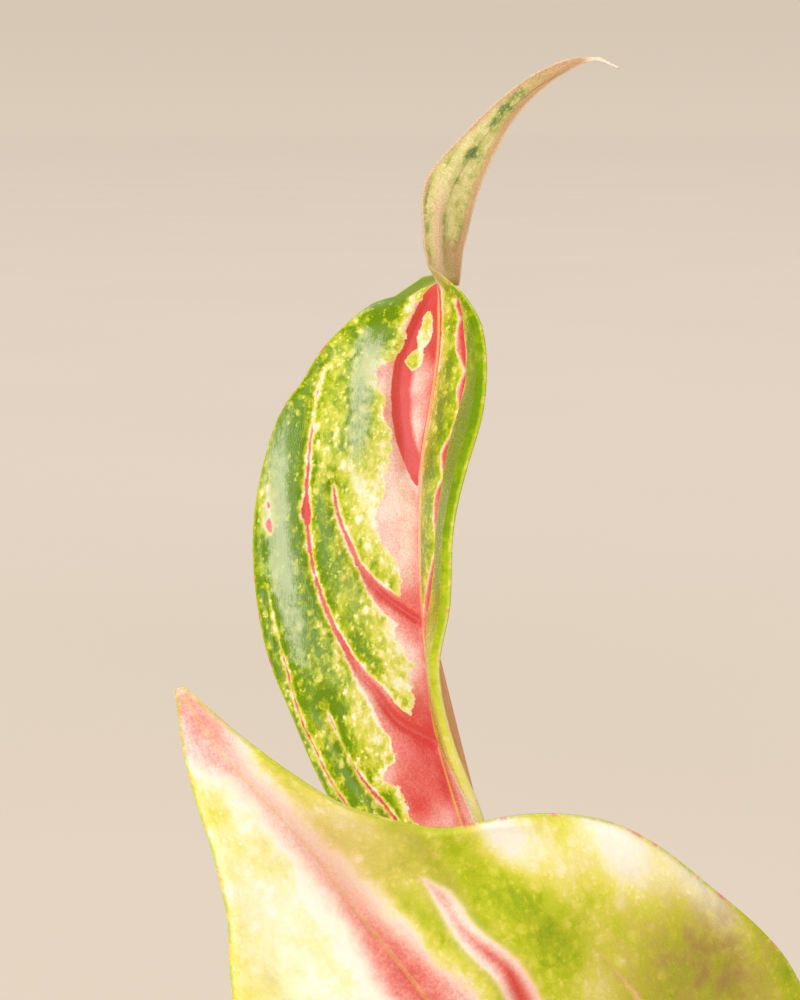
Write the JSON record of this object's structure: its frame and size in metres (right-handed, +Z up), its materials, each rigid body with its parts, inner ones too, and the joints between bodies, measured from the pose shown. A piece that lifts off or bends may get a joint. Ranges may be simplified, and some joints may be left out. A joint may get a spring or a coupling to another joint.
{
  "type": "potted chinese evergreen",
  "caption": "Potted aroid house plant: short canes in soil in a plain tapered pot, with stalked, pointed, pink and green variegated leaves, one upright and folded with a turned tip.",
  "frame": {"origin": "middle of the pot's flat underside", "axes": "+Z up out of the pot, along its height; the picture looks along +Y, with +X to its right"},
  "size_m": [0.3658, 0.3676, 0.3932],
  "materials": {
    "pot": "matte",
    "soil": "rough",
    "cane": "satin",
    "leaf": "satin",
    "furled_leaf": "satin"
  },
  "bodies": {
    "root": {"pot": "pot", "soil": "soil", "cane_front": "cane", "cane_centre": "cane", "cane_left": "cane", "cane_back": "cane", "leaf_upright": "leaf", "leaf_near": "leaf", "leaf_front_1": "leaf", "leaf_front_2": "leaf", "leaf_front_3": "leaf", "leaf_centre_1": "leaf", "leaf_centre_2": "leaf", "leaf_left_1": "leaf", "leaf_left_2": "leaf", "leaf_left_3": "leaf", "leaf_left_4": "leaf", "leaf_back_1": "leaf", "leaf_back_2": "leaf", "leaf_back_3": "leaf", "leaf_furled": "furled_leaf"}
  },
  "joints": []
}
